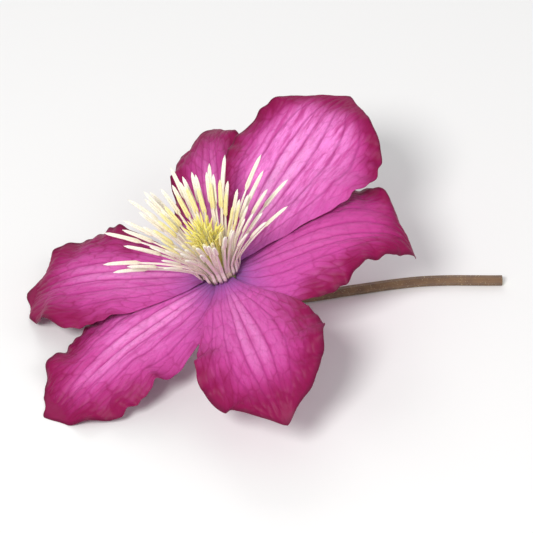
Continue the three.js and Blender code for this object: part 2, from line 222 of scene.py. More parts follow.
class Shell:
    """Vertices, faces and per-vertex values of a mesh, gathered piece by piece."""

    def __init__(self):
        self.count = 0
        self.vertices = []
        self.faces = []
        self.slots = []
        self.lanes = []
        self.tones = []
        self.maps = []

    def add(self, vertices, faces, slots, lanes=None, tones=None, maps=None):
        """slots is one material slot, or one for each face. lanes and tones hold three values
        for each vertex, and maps its two pairs of flat coordinates."""
        n = len(vertices)
        self.vertices.append(vertices)
        self.faces += [tuple(i + self.count for i in face) for face in faces]
        self.slots += [slots] * len(faces) if np.isscalar(slots) else slots
        self.lanes.append(np.zeros((n, 3)) if lanes is None else lanes)
        self.tones.append(np.zeros((n, 3)) if tones is None else tones)
        self.maps.append(np.zeros((n, 4)) if maps is None else maps)
        self.count += n

    def build(self, name, materials, node):
        """Make the object, in metres, riding on the frame in place of the CAD node."""
        mesh = bpy.data.meshes.new(name)
        vertices = np.concatenate(self.vertices) * MM
        mesh.from_pydata(vertices.tolist(), [], self.faces)
        for material in materials:
            mesh.materials.append(material)
        mesh.polygons.foreach_set("material_index", np.array(self.slots, np.int32))
        mesh.polygons.foreach_set("use_smooth", np.ones(len(self.faces), bool))
        for attribute, rows in (("lane", self.lanes), ("tone", self.tones)):
            data = mesh.attributes.new(attribute, "FLOAT_VECTOR", "POINT").data
            data.foreach_set("vector", np.concatenate(rows).astype(np.float32).ravel())
        corners = np.zeros(len(mesh.loops), np.int32)
        mesh.loops.foreach_get("vertex_index", corners)
        maps = np.concatenate(self.maps)[corners].astype(np.float32)
        for name_of_map, pair in (("flat", maps[:, :2]), ("fan", maps[:, 2:])):
            mesh.uv_layers.new(name=name_of_map).data.foreach_set("uv", pair.ravel())
        mesh.update()
        mesh.validate()
        piece = bpy.data.objects.new(name, mesh)
        bpy.context.scene.collection.objects.link(piece)
        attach(piece, "root")
        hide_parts(node)


def grid_faces(rows, columns, wrap=False):
    """Quads of a grid of rows by columns of points. wrap joins the last column to the first."""
    steps = columns if wrap else columns - 1
    i, j = np.meshgrid(np.arange(rows - 1), np.arange(steps), indexing="ij")
    a = i * columns + j
    b = i * columns + (j + 1) % columns
    quads = np.stack([a, b, b + columns, a + columns], -1).reshape(-1, 4)
    return [tuple(quad) for quad in quads.tolist()]


def lane_of(values):
    """Rows for lane with these values in the first place, which is all that plain looks read."""
    lanes = np.zeros((len(values), 3))
    lanes[:, 0] = values
    return lanes


def sections(line, sides, overs, radius_across, radius_over, angle):
    """Rings of points round a line, each from its own width and depth direction and radii."""
    return (
        line[:, None]
        + sides[:, None] * (radius_across * np.cos(angle))[..., None]
        + overs[:, None] * (radius_over * np.sin(angle))[..., None]
    )


def add_tube(shell, slot, points, across, widths, depths, sides):
    """Add a closed tube through points of the flower's frame. across is its width direction, and
    lane's first value runs from 0 to 1 along it."""
    along = unit(np.gradient(points, axis=0))
    across = unit(across - np.sum(across * along, -1, keepdims=True) * along)
    over = np.cross(along, across)
    angle = 2 * np.pi * np.arange(sides) / sides
    rings = sections(points, across, over, widths[:, None], depths[:, None], angle)
    rows = len(points)
    faces = grid_faces(rows, sides, wrap=True)
    faces.append(tuple(range(sides))[::-1])
    faces.append(tuple(range((rows - 1) * sides, rows * sides)))
    lanes = lane_of(np.repeat(np.linspace(0, 1, rows), sides))
    shell.add(posed(rings.reshape(-1, 3)), faces, slot, lanes)


def add_lathe(shell, slot, outline, sides, ridges=0, ridge=0.0):
    """Add a closed solid of revolution round the flower's axis. The outline holds (radius,
    height) from the axis back to it, and ridge is a share of the radius."""
    outline = np.array(outline, float)
    angle = 2 * np.pi * np.arange(sides) / sides
    inner = outline[1:-1]
    radius = inner[:, None, 0] * (1 + ridge * np.cos(ridges * angle))
    height = np.repeat(inner[:, 1:], sides, 1)
    rings = np.stack([radius * np.cos(angle), radius * np.sin(angle), height], -1)
    ends = outline[[0, -1], 1:] * UP
    rows = len(inner)
    faces = grid_faces(rows, sides, wrap=True)
    last = (rows - 1) * sides
    bottom = rows * sides
    for k in range(sides):
        after = (k + 1) % sides
        faces.append((bottom, after, k))
        faces.append((bottom + 1, last + k, last + after))
    shell.add(posed(np.concatenate([rings.reshape(-1, 3), ends])), faces, slot)


HAIR_FACES = [(0, 1, 3), (1, 2, 3), (2, 0, 3), (2, 1, 0)]


def hair(root, direction, length, thick, helper):
    """Points of a fine tapering hair with three sides. helper is any direction aslant to it."""
    side = unit(np.cross(direction, helper))
    other = np.cross(direction, side)
    thirds = [2 * math.pi * k / 3 for k in range(3)]
    ring = [root + thick * (math.cos(a) * side + math.sin(a) * other) for a in thirds]
    return np.array([*ring, root + direction * length])


# ---------------------------------------------------------------- shaders

MAP_UNIT = 50  # one unit of a blade's maps, in millimetres


class Look:
    """A Principled material and short calls that add nodes to it and give back their output."""

    def __init__(self, name, **settings):
        self.material = bpy.data.materials.new(name)
        self.material.use_nodes = True
        self.tree = self.material.node_tree
        self.surface = self.tree.nodes["Principled BSDF"]
        for key, value in settings.items():
            self.surface.inputs[key.replace("_", " ")].default_value = value

    def add(self, kind, values, output=0, **settings):
        node = self.tree.nodes.new("ShaderNode" + kind)
        for key, value in settings.items():
            setattr(node, key, value)
        for key, value in values.items():
            if isinstance(value, bpy.types.NodeSocket):
                self.tree.links.new(value, node.inputs[key])
            else:
                node.inputs[key].default_value = value
        return node.outputs[output]

    def math(self, operation, a, b=0.0):
        return self.add("Math", {0: a, 1: b}, operation=operation)

    def product(self, *values):
        result = values[0]
        for value in values[1:]:
            result = self.math("MULTIPLY", result, value)
        return result

    def distance(self, value, middle):
        return self.math("ABSOLUTE", self.math("SUBTRACT", value, middle))

    def ease(self, value, low, high, to_low=0.0, to_high=1.0):
        """to_low below low, to_high above high and smooth between."""
        ends = {"From Min": low, "From Max": high, "To Min": to_low, "To Max": to_high}
        return self.add("MapRange", {"Value": value, **ends}, interpolation_type="SMOOTHSTEP")

    def mix(self, share, a, b):
        return self.add("Mix", {0: share, 6: a, 7: b}, output=2, data_type="RGBA")

    def ramp(self, value, stops):
        """stops hold a position and a colour given as 0 to 255 on a screen."""
        node = self.tree.nodes.new("ShaderNodeValToRGB")
        self.tree.links.new(value, node.inputs[0])
        elements = node.color_ramp.elements
        while len(elements) < len(stops):
            elements.new(0.5)
        for element, (position, *colour) in zip(elements, stops):
            element.position = position
            element.color = srgb(*colour)
        return node.outputs[0]

    def values(self, attribute):
        """The three per-vertex values of the mesh's lane or tone."""
        vector = self.add("Attribute", {}, output="Vector", attribute_name=attribute)
        split = self.tree.nodes.new("ShaderNodeSeparateXYZ")
        self.tree.links.new(vector, split.inputs[0])
        return tuple(split.outputs)

    def mapped(self, name, along, across):
        """A map of the mesh, flat or fan, with so many units to MAP_UNIT along and across."""
        uv = self.add("UVMap", {}, uv_map=name)
        return self.add("Mapping", {"Vector": uv, "Scale": (along, across, 1)})

    def noise(self, vector, scale, detail):
        values = {"Vector": vector, "Scale": scale, "Detail": detail, "Roughness": 0.55}
        return self.add("TexNoise", values)

    def colour(self, socket):
        self.tree.links.new(socket, self.surface.inputs["Base Color"])

    def bump(self, height, depth, strength):
        """depth is the height's full range in millimetres."""
        values = {"Height": height, "Distance": depth * MM, "Strength": strength}
        self.tree.links.new(self.add("Bump", values), self.surface.inputs["Normal"])


# Nerves run from the base to the tip at these shares of a half's width. Each is a groove on the
# upper face and a ridge on the under face: share, depth and half width in millimetres.
NERVES = ((0.0, 0.34, 0.55), (0.19, 0.4, 0.6), (0.43, 0.2, 0.5), (0.69, 0.12, 0.45))
NERVE_LINE = 0.036  # half width of a nerve's coloured line, in the same shares

# Noise and cells on a blade: units to MAP_UNIT along and across.
STREAKS = (6, 38)
PATCHES = (11, 22)
FINE_CELLS = (34, 78)
SKIN_GRAIN = (420, 420)
FINE_VEIN_LINE = 0.1

UNDER_STOPS = [
    (0.0, 150, 146, 110),
    (0.1, 172, 124, 142),
    (0.45, 196, 112, 168),
    (0.8, 186, 86, 148),
    (1.0, 150, 40, 100),
]
UPPER_STOPS = [
    (0.0, 140, 92, 164),
    (0.08, 178, 88, 170),
    (0.2, 200, 82, 168),
    (0.45, 200, 74, 158),
    (0.75, 188, 54, 138),
    (0.93, 152, 20, 92),
]


def nerve_lines(look, side):
    """1 on the nerves and 0 beside them."""
    lines = [look.ease(look.distance(side, at), 0.0, NERVE_LINE, 1.0, 0.0) for at, _, _ in NERVES]
    result = lines[0]
    for line in lines[1:]:
        result = look.math("MAXIMUM", result, line)
    return result


def under_colour(look, u, side, streaks):
    """Greenish towards the base and along the midrib, with pale streaks."""
    colour = look.ramp(u, UNDER_STOPS)
    colour = look.mix(look.ease(side, 0.0, 0.34, 0.6, 0.0), colour, srgb(170, 132, 136))
    return look.mix(look.ease(streaks, 0.4, 0.7, 0.0, 0.4), colour, srgb(214, 146, 190))


def upper_colour(look, u, side, streaks, inside, paleness):
    """Magenta with pale streaks, and two paler bars beside the midrib."""
    colour = look.ramp(u, UPPER_STOPS)
    pale = look.product(look.ease(u, 0.03, 0.24, 0.15, 1.0), look.ease(inside, 0.5, 2.2), paleness)
    streaked = look.ease(streaks, 0.34, 0.6, 0.2, 1.0)
    streaked = look.product(streaked, look.ease(side, 0.3, 0.95, 1.0, 0.2), pale)
    colour = look.mix(streaked, colour, srgb(240, 136, 214))
    bar = look.ease(look.distance(side, NERVES[1][0] / 2), 0.02, 0.1, 0.8, 0.0)
    bar = look.product(bar, look.ease(u, 0.4, 0.88, 1.0, 0.0), pale)
    return look.mix(bar, colour, srgb(248, 166, 228))


def with_margin(look, colour, inside, vein, patches, strength):
    """The dark margin with its uneven inner edge, and the darker line of the rim itself."""
    uneven = look.product(look.math("SUBTRACT", 0.5, patches), 1.1)
    edge = look.math("SUBTRACT", look.math("ADD", inside, uneven), look.product(vein, 0.2))
    colour = look.mix(look.ease(edge, 0.15, 1.5, strength, 0.0), colour, srgb(132, 1, 68))
    return look.mix(look.ease(inside, 0.0, 0.22, 0.8, 0.0), colour, srgb(94, 2, 46))


def sepal_look(under):
    """The upper or the under face of a sepal. lane is (share of the length, share of the half
    width from -1 to 1, closeness to a line of the net of veins) and tone is (distance from the
    margin in widths of the dark edge, strength of the pale bars, 0)."""
    look = Look(
        "sepal_under" if under else "sepal_upper",
        Roughness=0.62 if under else 0.5,
        Specular_IOR_Level=0.18,
        Subsurface_Weight=0.1,
        Subsurface_Scale=0.0005,
        Subsurface_Radius=(1.0, 0.3, 0.6),
        Sheen_Weight=0.04,
        Sheen_Roughness=0.5,
        Sheen_Tint=srgb(255, 190, 230),
    )
    u, w, vein = look.values("lane")
    inside, paleness, _ = look.values("tone")
    side = look.math("ABSOLUTE", w)
    streaks = look.noise(look.mapped("fan", *STREAKS), 1.0, 4)
    patches = look.noise(look.mapped("fan", *PATCHES), 1.0, 3)
    cells = {"Vector": look.mapped("fan", *FINE_CELLS), "Scale": 1.0}
    to_line = look.add("TexVoronoi", cells, feature="DISTANCE_TO_EDGE")
    fine_vein = look.ease(to_line, 0.0, FINE_VEIN_LINE, 1.0, 0.0)

    if under:
        colour = under_colour(look, u, side, streaks)
    else:
        colour = upper_colour(look, u, side, streaks, inside, paleness)
    for line, strength, tint in (
        (nerve_lines(look, side), 0.5, srgb(150, 34, 112)),
        (vein, 0.26, srgb(158, 38, 114)),
        (fine_vein, 0.12, srgb(160, 42, 120)),
    ):
        colour = look.mix(look.product(line, strength), colour, tint)
    look.colour(with_margin(look, colour, inside, vein, patches, 0.6 if under else 0.97))

    skin = look.noise(look.mapped("flat", *SKIN_GRAIN), 1.0, 2)
    sunk = look.product(fine_vein, look.ease(inside, 0.6, 1.6, 0.0, -0.3))
    height = look.math("ADD", sunk, look.product(skin, 0.25))
    look.bump(height, 0.14, -0.7 if under else 0.7)
    return look.material


def plain_look(name, stops, blotch, grain, depth, **settings):
    """A look that changes colour along lane's first value, with blotches and a fine grain."""
    look = Look(name, Subsurface_Radius=(1.0, 0.85, 0.6), **settings)
    u, _, _ = look.values("lane")
    noise = look.noise(look.add("TexCoord", {}, output="Object"), grain, 3)
    colour = look.ramp(u, stops)
    look.colour(look.mix(look.ease(noise, 0.35, 0.7, 0.0, 0.6), colour, srgb(*blotch)))
    look.bump(noise, depth, 0.8)
    return look.material


sepal_upper = sepal_look(under=False)
sepal_under = sepal_look(under=True)
filament_look = plain_look(
    "filament",
    [(0.0, 168, 136, 146), (0.06, 224, 203, 196), (0.25, 241, 230, 215), (1.0, 250, 245, 234)],
    (252, 247, 238), 900, 0.04,
    Roughness=0.5, Subsurface_Weight=0.2, Subsurface_Scale=0.0005,
)
ring_look = plain_look(
    "filament_feet",
    [(0.0, 178, 158, 146), (1.0, 178, 158, 146)],
    (208, 196, 166), 700, 0.06,
    Roughness=0.6, Subsurface_Weight=0.1, Subsurface_Scale=0.0005,
)
anther_look = plain_look(
    "anther",
    [(0.0, 240, 234, 210), (0.5, 248, 244, 229), (1.0, 252, 250, 243)],
    (238, 229, 200), 2600, 0.12,
    Roughness=0.85, Sheen_Weight=0.3,
)
inner_anther_look = plain_look(
    "inner_anther",
    [(0.0, 248, 238, 170), (1.0, 252, 246, 196)],
    (240, 222, 132), 2600, 0.12,
    Roughness=0.85, Sheen_Weight=0.3,
)
style_look = plain_look(
    "style",
    [(0.0, 216, 216, 142), (0.5, 245, 236, 142), (1.0, 253, 243, 138)],
    (238, 224, 118), 1500, 0.05,
    Roughness=0.6, Subsurface_Weight=0.2, Subsurface_Scale=0.0004,
)
silk_look = plain_look(
    "silk",
    [(0.0, 244, 238, 180), (1.0, 252, 248, 214)],
    (248, 240, 190), 1500, 0.01,
    Roughness=0.45, Sheen_Weight=0.5,
)
stalk_look = plain_look(
    "stalk_skin",
    [(0.0, 150, 148, 92), (0.12, 138, 122, 78), (0.35, 124, 98, 68), (1.0, 118, 88, 60)],
    (92, 66, 50), 420, 0.1,
    Roughness=0.6, Sheen_Weight=0.2,
)
pith_look = plain_look(
    "pith",
    [
        (0.0, 96, 74, 48), (0.12, 136, 140, 74), (0.3, 176, 172, 112),
        (0.5, 206, 198, 146), (0.8, 226, 220, 182), (1.0, 236, 232, 206),
    ],
    (168, 150, 92), 2600, 0.06,
    Roughness=0.8,
)


# ---------------------------------------------------------------- sepals

# What each sepal has beside the part's own values. Pairs hold the right half first.
# edge: width of the dark margin; clear: share of the length up to which a half has none.
# The dark margin is the sepals' own colour, but near the base of A's left half and of F's right
# half it is painted shade in the crease between the two
# pale: strength of the pale streaks and bars; slim: how much slimmer a half is at mid-length.
# On B a low pale and a raised edge are painted shade, for a sepal that lies partly in shade
FINISHES = [
    # A: its left half, with clear 0.2, keeps the dark margin down to the base as painted shade
    # where A lies over F
    dict(edge=4.5, clear=(0.78, 0.2), pale=1.0, slim=(0, 0)),
    # F: its right half, with clear 0.2, keeps the dark margin down to the base as painted shade
    # under A
    dict(edge=6, clear=(0.2, 0.42), pale=0.4, slim=(0, 0)),
    dict(edge=8.5, clear=(0.42, 0.75), pale=0.42, slim=(0, 0)),
    dict(edge=8, clear=(0.66, 0.85), pale=0.55, slim=(0, 1.2)),
    dict(edge=7.5, clear=(0.7, 0.52), pale=0.4, slim=(1.6, 0)),
    # B: pale kept low and edge raised as painted shade, since B lies partly in shade
    dict(edge=6, clear=(0.42, 0.6), pale=0.08, slim=(0, 0)),
]
THICKNESS = 0.34  # of a blade between midrib and margin
ROWS = 176
COLUMNS = 120
CLOSER_AT_MARGINS = 0.28  # the steps across the blade get shorter towards the margins
CLOSER_AT_ENDS = 0.05  # and those along it towards its ends
FOOT = 0.45  # a sepal's base runs in by this to the boss that it grows from
POINT = 1.0  # length of the small point at its tip
POINT_WIDTH = 2.4
REST_BEND = 0.4  # how softly a blade that lies on the table bends up from it
MARGIN_CLEAR = 9  # a clear stretch of margin counts as this much further from the edge

# the net of veins and the puckers between them
VEIN_SLANT = 0.8  # how far a vein runs along the blade for each step across it
VEIN_CELL = (4.4, 1.5)
PUCKER = 0.14
SWELL = 0.28  # and larger swellings, with their length and width
SWELL_SIZE = (4.6, 3.4)

# the margins: crimps as (height, length of a radian of the wave), and nicks that change the
# blade's width, as (share of it, length of a radian)
SMALL_CRIMP = (0.3, 0.6)
LARGE_CRIMP = (0.36, 1.25)
SMALL_NICK = (0.007, 0.71)
LARGE_NICK = (0.012, 1.7)


def of_half(pair, w):
    """The pair's value for the half that each point lies in."""
    return np.where(w > 0, pair[1], pair[0])


def half_width(sepal, u, w):
    """Width of the half that each point lies in: the part's own rule, and slimmer by slim."""
    power = math.log(0.5) / np.log(of_half(sepal["widest"], w))
    blade = np.maximum(np.sin(np.pi * u**power), 0) ** sepal["blunt"]
    shoulder = 0 if sepal["upper"] else SHOULDER * band(u, (-0.06, 0.12), (0.2, 0.6))
    slim = of_half(sepal["slim"], w) * band(u, (0.15, 0.38), (0.5, 0.78))
    return of_half(sepal["halves"], w) * blade + CLAW_HALF_WIDTH * (1 - u) ** 2 + shoulder - slim


def midrib(sepal, u):
    """Radius, height and slope of the midrib at shares u of its length."""
    steps = 600
    middle = (np.arange(steps) + 0.5) / steps

    def slope_at(t):
        slope = lerp(BASE_SLOPE, sepal["tip"], ease(t, BEND_FROM, 1))
        return np.radians(slope - sepal["curl"] * ease(t, CURL_FROM, 1))

    step = sepal["length"] / steps
    share = np.arange(steps + 1) / steps
    radius = np.concatenate([[0], np.cumsum(np.cos(slope_at(middle)) * step)])
    height = np.concatenate([[0], np.cumsum(np.sin(slope_at(middle)) * step)])
    radius = SEPAL_START + np.interp(u, share, radius)
    start = WHORL_OFFSET if sepal["upper"] else -WHORL_OFFSET
    return radius, start + np.interp(u, share, height), slope_at(u)


def relief(sepal, u, w):
    """The part's own relief: hanging margins, arched halves and waves. Only near the base do the
    margins of neighbours lie closer together than in the part."""
    side = np.abs(w)
    free = ease(u, 0.4, 0.8) if sepal["upper"] else ease(u, 0.1, 0.5)
    droop = -MARGIN_DROOP * free * w * w * np.sin(np.pi * np.minimum(1, u * 1.1) ** 0.8)
    arch = HALF_ARCH * 4 * side * (1 - side) * np.sin(np.pi * u)
    overlap = ease(side, 0.3, 0.9) * band(u, (0.05, 0.3), (0.6, 0.85))
    apart = (1 if sepal["upper"] else -1) * of_half(sepal["apart"], w) * overlap
    turns = WAVES_PER_SEPAL * u + of_half(sepal["phases"], w)
    ripple = np.sin(2 * np.pi * turns) + 0.4 * np.sin(2 * np.pi * (2.3 * turns + 0.2))
    wave = sepal["wave"] * side**2.2 * band(u, (0.3, 0.6), (0.85, 1), left=0.4)
    return droop + arch + apart + wave * ripple


def fanned(along, across):
    """Distance along a line that runs aslant from the midrib, like the barb of a feather."""
    return along - VEIN_SLANT * np.abs(across)


def vein_distance(along, across, number):
    """Distance to the net of veins, with cells about VEIN_CELL long and wide."""
    x = fanned(along, across) / VEIN_CELL[0] + 0.25 * np.sin(across / 1.9 + number)
    y = across / VEIN_CELL[1] + 0.3 * np.sin(along / 4.1 + number)
    return net(x, y, number)


def crimps(number, along, w):
    """Small and large crimps of the margins, which come and go along them."""
    side = np.abs(w)
    bend = 2.7 * mottle(along / 9, w, number + 20)
    small = np.sin(along / SMALL_CRIMP[1] + bend + 2.2 * w)
    large = np.sin(along / LARGE_CRIMP[1] + 1.4 * bend - 3.1 * w + number)
    return SMALL_CRIMP[0] * side**5 * small + LARGE_CRIMP[0] * side**3 * large


def fine_relief(sepal, number, u, w, across, distance):
    """Nerves sunk in the upper face, puckers between the veins, and crimped margins."""
    side = np.abs(w)
    along = u * sepal["length"]
    grooves = 0
    for at, depth, width in NERVES:
        off = (side - at) * half_width(sepal, u, w)
        grooves = grooves - depth * np.exp(-((off / width) ** 2))
    grooves = grooves * (1 - 0.5 * ease(u, 0.6, 0.95))
    pucker = PUCKER * (ease(distance, 0, 0.5) - 0.5) * (1 - 0.5 * ease(side, 0.8, 1))
    swell = mottle(along / SWELL_SIZE[0], across / SWELL_SIZE[1], number)
    swell = SWELL * swell * ease(side, 0.1, 0.4)
    body = band(u, (0.0, 0.12), (0.92, 1)) * (grooves + pucker + swell)
    return body + band(u, (0.3, 0.52), (0.8, 0.97), left=0.1) * crimps(number, along, w)


def margin_nicks(sepal, number, u, w):
    """By what factor the blade is wider than its rule, for an uneven margin."""
    along = u * sepal["length"]
    nicks = SMALL_NICK[0] * np.sin(along / SMALL_NICK[1] + number)
    nicks = nicks + LARGE_NICK[0] * np.sin(along / LARGE_NICK[1] + 3 * np.sign(w))
    return 1 + band(u, (0.3, 0.5), (0.8, 0.95), left=0.3) * nicks


def half_thickness(u, w):
    """Thicker along the midrib near the base, thinner at the margins and at the tip."""
    midrib_share = 0.9 * np.exp(-((w / 0.2) ** 2)) * (1 - u)
    half = THICKNESS / 2 * (1 + midrib_share) * (1 - 0.55 * np.abs(w) ** 8)
    return half * (1 - 0.5 * ease(u, 0.95, 1))


def middle_surface(sepal, u, across, over):
    """The points half-way through the blade. over is their height over the midrib's line."""
    radius, height, slope = midrib(sepal, u)
    roll = math.radians(sepal["roll"]) * ease(u, 0.2, 0.8)
    swept = sepal["length"] * math.tan(math.radians(sepal["sweep"])) * u**3
    sideways = across * np.cos(roll) - over * np.sin(roll) + swept
    normal = across * np.sin(roll) + over * np.cos(roll)
    point = POINT * ease(u, 0.9, 1) * np.exp(-((across / POINT_WIDTH) ** 2))
    push = point - FOOT * (1 - ease(u, 0, 0.03))
    x = radius - normal * np.sin(slope) + push * np.cos(slope)
    z = height + normal * np.cos(slope) + push * np.sin(slope)
    outward, leftward = compass(math.radians(sepal["azimuth"]))
    return posed(x[..., None] * outward + sideways[..., None] * leftward + z[..., None] * UP)


def lay_on_table(grid, half):
    """Lift what would sink into the table, so that it lies there and bends up from it softly.
    Gives how much each point lies, from 0 to 1."""
    clear_by = grid[..., 2] - half
    grid[..., 2] = half + 0.5 * (clear_by + np.sqrt(clear_by**2 + REST_BEND**2))
    return 1 - ease(clear_by, -2 * REST_BEND, 0)


def facing(grid, u, lying):
    """The direction of the upper face at each point."""
    direction = unit(np.cross(np.gradient(grid, axis=0), np.gradient(grid, axis=1)))
    # the lines of the grid run together at the tip, so each row there gets one direction
    quarter = COLUMNS // 4
    common = unit(direction[:, quarter:-quarter].mean(1, keepdims=True))
    direction = unit(lerp(direction, common, ease(u, 0.965, 0.988)[..., None]))
    direction = unit(lerp(direction, UP, lying[..., None]))
    direction[-1] = direction[-2]
    return direction


def blade_values(sepal, number, u, w, across, distance):
    """lane and tone as sepal_look reads them, and the flat and fan maps."""
    along = u * sepal["length"]
    closeness = (1 - ease(distance, 0, 0.2)) * ease(u, 0.04, 0.2)
    lane = np.stack([u, w, closeness], -1)
    clear = of_half(sepal["clear"], w)
    to_side = half_width(sepal, u, w) * (1 - np.abs(w))
    to_side = to_side + MARGIN_CLEAR * (1 - ease(u, 0.3 * clear, clear))
    to_end = 0.8 * (1 - u) * sepal["length"]
    inside = np.minimum(to_side, to_end) / sepal["edge"]
    tone = np.stack([inside, np.full(u.shape, sepal["pale"]), 0 * u], -1)
    flat_and_fan = [along, across, fanned(along, across), across]
    maps = np.stack(flat_and_fan, -1) / MAP_UNIT + (number, 0.5, number, 0.5)
    return lane, tone, maps


def with_tip(grid, tip):
    """A grid's rows as one list of points, with one tip in place of the last row."""
    return np.concatenate([grid[:-1].reshape(-1, grid.shape[-1]), tip[None]])


def add_blade(shell, upper, lower, values):
    """Add the upper and the lower face of a blade and the wall between their rims."""
    columns = COLUMNS + 1
    last = (ROWS - 1) * columns
    tip = ROWS * columns
    under = tip + 1
    upper_faces = [quad[::-1] for quad in grid_faces(ROWS, columns)]
    upper_faces += [(tip, last + j + 1, last + j) for j in range(COLUMNS)]
    lower_faces = [tuple(i + under for i in face[::-1]) for face in upper_faces]
    right = [i * columns for i in range(ROWS)]
    left = [i * columns + COLUMNS for i in range(ROWS - 1, -1, -1)]
    rim = right + [tip] + left + list(range(COLUMNS - 1, 0, -1))
    wall = [(a, a + under, b + under, b) for a, b in zip(rim, rim[1:] + rim[:1])]
    slots = [0] * len(upper_faces) + [1] * len(lower_faces) + [0] * len(wall)
    vertices = np.concatenate([with_tip(face, face[-1].mean(0)) for face in (upper, lower)])
    lane, tone, maps = (np.tile(with_tip(rows, rows[-1, 0]), (2, 1)) for rows in values)
    shell.add(vertices, upper_faces + lower_faces + wall, slots, lane, tone, maps)


def build_sepal(sepal, number):
    """w is the share of the half width from -1 at the right margin, and u that of the length."""
    t = np.linspace(-1, 1, COLUMNS + 1)[None, :]
    s = np.linspace(0, 1, ROWS + 1)[:, None]
    w = (1 - CLOSER_AT_MARGINS) * t + CLOSER_AT_MARGINS * np.sin(np.pi / 2 * t) + 0 * s
    u = s - CLOSER_AT_ENDS * np.sin(2 * np.pi * s) / (2 * np.pi) + 0 * t
    across = w * half_width(sepal, u, w) * margin_nicks(sepal, number, u, w)
    distance = vein_distance(u * sepal["length"], across, number)
    over = relief(sepal, u, w) + fine_relief(sepal, number, u, w, across, distance)
    grid = middle_surface(sepal, u, across, over * (1 - ease(u, 0.97, 1)))
    half = half_thickness(u, w)
    lying = lay_on_table(grid, half)
    out = half[..., None] * facing(grid, u, lying)
    shell = Shell()
    add_blade(shell, grid + out, grid - out, blade_values(sepal, number, u, w, across, distance))
    shell.build(f"sepal_{number}_blade", [sepal_upper, sepal_under], f"sepal_{number}")


for number, (sepal, finish) in enumerate(zip(SEPALS, FINISHES), 1):
    build_sepal({**sepal, **finish}, number)


# ---------------------------------------------------------------- stamens

STAMEN_LOOKS = [filament_look, anther_look, inner_anther_look, ring_look]
FILAMENT, ANTHER, INNER_ANTHER, RING = range(4)
STAMEN_STEPS = 25
INNER_FROM = 0.8  # from this share of them inwards the anthers are still yellow
FULLER = (1, 6, 8, 14)  # half steps that fill the ring out on its left and behind
SWAY = 0.35

SAC_SIZE = 0.26  # half width of a pollen sac, beyond that of its ends
SAC_END_SIZE = 0.03
SAC_APART = 0.31  # from the filament's line to the side
SAC_OVER = 0.08  # and over it

# the ring itself is ridged by the feet of the filaments, which run down over it
RING_RADIUS = COLLAR_RADIUS - 0.25
FEET = 30
RING_OUTLINE = [
    (0, COLLAR_BOTTOM),
    (RING_RADIUS - 0.5, COLLAR_BOTTOM),
    (RING_RADIUS - 0.1, COLLAR_BOTTOM + 0.25),
    (RING_RADIUS, COLLAR_BOTTOM + 0.7),
    (RING_RADIUS - 0.3, COLLAR_TOP - 0.8),
    (COLLAR_BORE + 1, COLLAR_TOP - 0.1),
    (COLLAR_BORE, COLLAR_TOP - 0.2),
    (0, COLLAR_TOP - 0.6),
]


def stamen_line(i, t):
    """Points of stamen i's line, and its width direction. A whole i is one of the part's own."""
    share = (i + 0.5) / STAMENS
    azimuth = i * GOLDEN_ANGLE + STAMEN_DRAWS[0] * draw(i, 1)
    outward, sideways = compass(azimuth)
    root_radius = lerp(*STAMEN_ROOT_RADIUS, share)
    upright = 1 - UPRIGHT_BY * max(0, math.cos(azimuth - UPRIGHT_AT)) * (1 - share)
    lean = lerp(*STAMEN_LEAN, share**STAMEN_RISE) + STAMEN_DRAWS[1] * draw(i, 2) * (1 - share)
    lean = math.radians(lean) * upright
    length = lerp(*STAMEN_LENGTH, share) + STAMEN_DRAWS[2] * draw(i, 3)
    root = root_radius * outward + (COLLAR_TOP - STAMEN_ROOT_DEPTH) * UP
    knee = root + leaning(outward, lean * STAMEN_KNEE[0]) * length * STAMEN_KNEE[1]
    tip = knee + leaning(outward, lean * STAMEN_TIP[0]) * length * STAMEN_TIP[1]
    t = t[:, None]
    line = (1 - t) ** 2 * root + 2 * t * (1 - t) * knee + t * t * tip
    # the further out it stands, the more it starts on the flank of the ring
    flank = min(1.0, max(0.0, 1.7 - 2.6 * share)) * (1 - ease(t, 0, 0.17))
    line = line + flank * ((COLLAR_RADIUS - root_radius) * outward - FLANK_DROP * UP)
    return line + SWAY * draw(i, 5) * np.sin(np.pi * t) * t * sideways, sideways


def add_pollen_sacs(shell, slot, line, sideways):
    """The two sacs beside the filament's end, which meet at its tip."""
    over = np.cross(unit(np.gradient(line, axis=0)), sideways)
    s = np.linspace(0, 1, len(line))
    swell = np.sqrt(np.clip(1 - (2 * s - 1) ** 8, 0, 1)) * (1 - 0.35 * s)
    size = SAC_END_SIZE + SAC_SIZE * swell
    apart = SAC_APART * (1 - 0.3 * s - 0.65 * ease(s, 0.8, 1))
    raised = line + SAC_OVER * over * (1 - s**4)[:, None]
    for sign in (-1, 1):
        centre = raised + sign * apart[:, None] * sideways
        add_tube(shell, slot, centre, sideways, size, size * 1.15, 8)


def add_stamen(shell, i):
    t = np.linspace(0, 1, STAMEN_STEPS)
    points, sideways = stamen_line(i, t)
    # the flat filament narrows to its anther and runs on as the strip between the pollen sacs
    widths = np.interp(t, [0, 0.3, 0.62, 0.7, 0.97, 1], [0.42, 0.38, 0.27, 0.2, 0.16, 0.04])
    depths = np.interp(t, [0, 0.6, 1], [0.2, 0.15, 0.08])
    add_tube(shell, FILAMENT, points, sideways, widths, depths, 8)
    anther = INNER_ANTHER if i > INNER_FROM * STAMENS else ANTHER
    add_pollen_sacs(shell, anther, points[t >= ANTHER_START - 0.02], sideways)


def build_stamens():
    shell = Shell()
    add_lathe(shell, RING, RING_OUTLINE, 240, ridges=FEET, ridge=0.035)
    for i in range(STAMENS):
        add_stamen(shell, i)
        if i > STAMENS / 2 or i in FULLER:
            add_stamen(shell, i + 0.5)
    shell.build("stamen_ring", STAMEN_LOOKS, "stamens")


build_stamens()


# ---------------------------------------------------------------- styles

